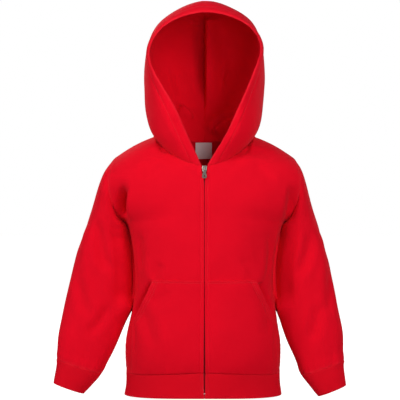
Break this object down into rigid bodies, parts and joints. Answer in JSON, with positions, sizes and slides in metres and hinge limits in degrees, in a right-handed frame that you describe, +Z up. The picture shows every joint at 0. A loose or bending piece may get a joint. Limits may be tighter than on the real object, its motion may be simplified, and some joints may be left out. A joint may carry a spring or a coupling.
{
  "type": "kids zip hoodie",
  "caption": "Child's long-sleeved zip hoodie, filled out as worn, with a lined standing hood, split front pocket, ribbed cuffs and hem, and a hinged zip pull.",
  "frame": {"origin": "midway between the two neck points, at the height of the inner ends of the shoulders, inside the neck opening", "axes": "+Z up, front faces -Y, +X towards the wearer's left"},
  "size_m": [0.554, 0.2235, 0.7474],
  "materials": {
    "sweat_cloth": "brushed sweatshirt knit, matt",
    "hood_cloth": "brushed sweatshirt knit, matt",
    "hood_lining_cloth": "smooth knit, matt",
    "rib_cloth": "fine rib knit, matt",
    "zip_tape_cloth": "woven tape",
    "zip_coil": "moulded coil, satin",
    "zip_metal": "nickel, satin",
    "pull_metal": "nickel, satin",
    "label_cloth": "satin ribbon, blank"
  },
  "bodies": {
    "garment": {"back": "sweat_cloth", "front_L": "sweat_cloth", "front_R": "sweat_cloth", "sleeve_L": "sweat_cloth", "sleeve_R": "sweat_cloth", "pocket_L": "sweat_cloth", "pocket_R": "sweat_cloth", "cuff_L": "rib_cloth", "cuff_R": "rib_cloth", "waistband": "rib_cloth", "hood_L": "hood_cloth", "hood_R": "hood_cloth", "hood_lining_L": "hood_lining_cloth", "hood_lining_R": "hood_lining_cloth", "zip_tape_L": "zip_tape_cloth", "zip_tape_R": "zip_tape_cloth", "zip_chain": "zip_coil", "zip_box": "zip_coil", "zip_slider": "zip_metal", "neck_label": "label_cloth"},
    "pull_tab": {"pull_tab": "pull_metal"}
  },
  "joints": [
    {"name": "pull_tab_hinge", "type": "hinge", "parent": "garment", "child": "pull_tab", "pos_m": [0, -0.09121, -0.06465], "axis": [-1, 0, 0], "range_deg": [0, 120]}
  ]
}
